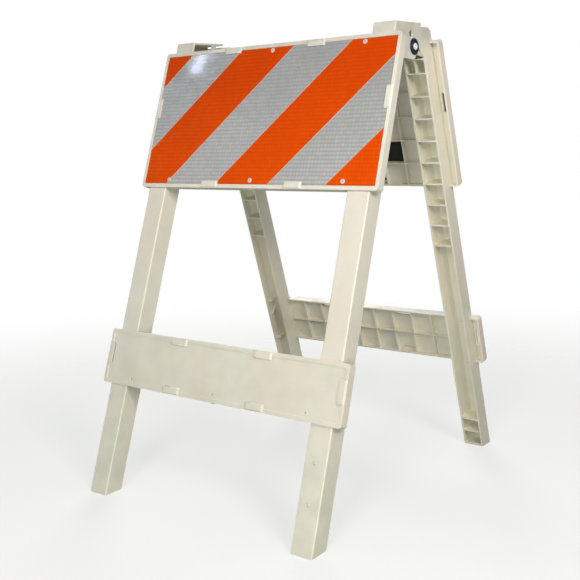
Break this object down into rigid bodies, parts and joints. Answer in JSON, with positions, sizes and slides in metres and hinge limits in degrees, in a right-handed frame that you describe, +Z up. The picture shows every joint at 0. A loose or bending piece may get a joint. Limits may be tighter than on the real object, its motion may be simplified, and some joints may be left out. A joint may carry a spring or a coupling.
{
  "type": "folding a-frame road barricade",
  "caption": "Free-standing folding plastic A-frame barricade: two hinged halves, each with channel legs, a striped reflective upper board and a plain lower board.",
  "frame": {"origin": "on the ground, midway between the four feet, with the frame standing open", "axes": "+Z up, +X along the boards to the right as seen from the front, -Y towards the front half"},
  "size_m": [0.6096, 0.7068, 0.937],
  "materials": {
    "ivory_plastic": "moulded polyethylene, satin, off-white",
    "black_backing": "black plastic sheet",
    "white_sheeting": "prismatic reflective sheeting, silver white",
    "orange_film": "transparent orange film over prismatic sheeting",
    "rivet_nylon": "white nylon rivets",
    "hub_nylon": "white nylon",
    "dark_cap": "dark blue-black nylon",
    "zinc_steel": "zinc plated"
  },
  "bodies": {
    "front_frame": {"front_left_leg": "ivory_plastic", "front_right_leg": "ivory_plastic", "front_upper_board": "ivory_plastic", "front_lower_board": "ivory_plastic", "front_backing_panel": "black_backing", "front_white_sheeting": "white_sheeting", "front_orange_film": "orange_film", "front_panel_rivets": "rivet_nylon", "left_hinge_pin": "hub_nylon", "left_hinge_cap": "dark_cap", "left_push_nut": "zinc_steel", "right_hinge_pin": "hub_nylon", "right_hinge_cap": "dark_cap", "right_push_nut": "zinc_steel"},
    "rear_frame": {"rear_left_leg": "ivory_plastic", "rear_right_leg": "ivory_plastic", "rear_upper_board": "ivory_plastic", "rear_lower_board": "ivory_plastic", "rear_backing_panel": "black_backing", "rear_white_sheeting": "white_sheeting", "rear_orange_film": "orange_film", "rear_panel_rivets": "rivet_nylon", "left_spacer_tube": "zinc_steel", "right_spacer_tube": "zinc_steel"}
  },
  "joints": [
    {"name": "fold", "type": "hinge", "parent": "front_frame", "child": "rear_frame", "pos_m": [0, 0, 0.889], "axis": [1, 0, 0], "range_deg": [-34.4, 0]}
  ]
}
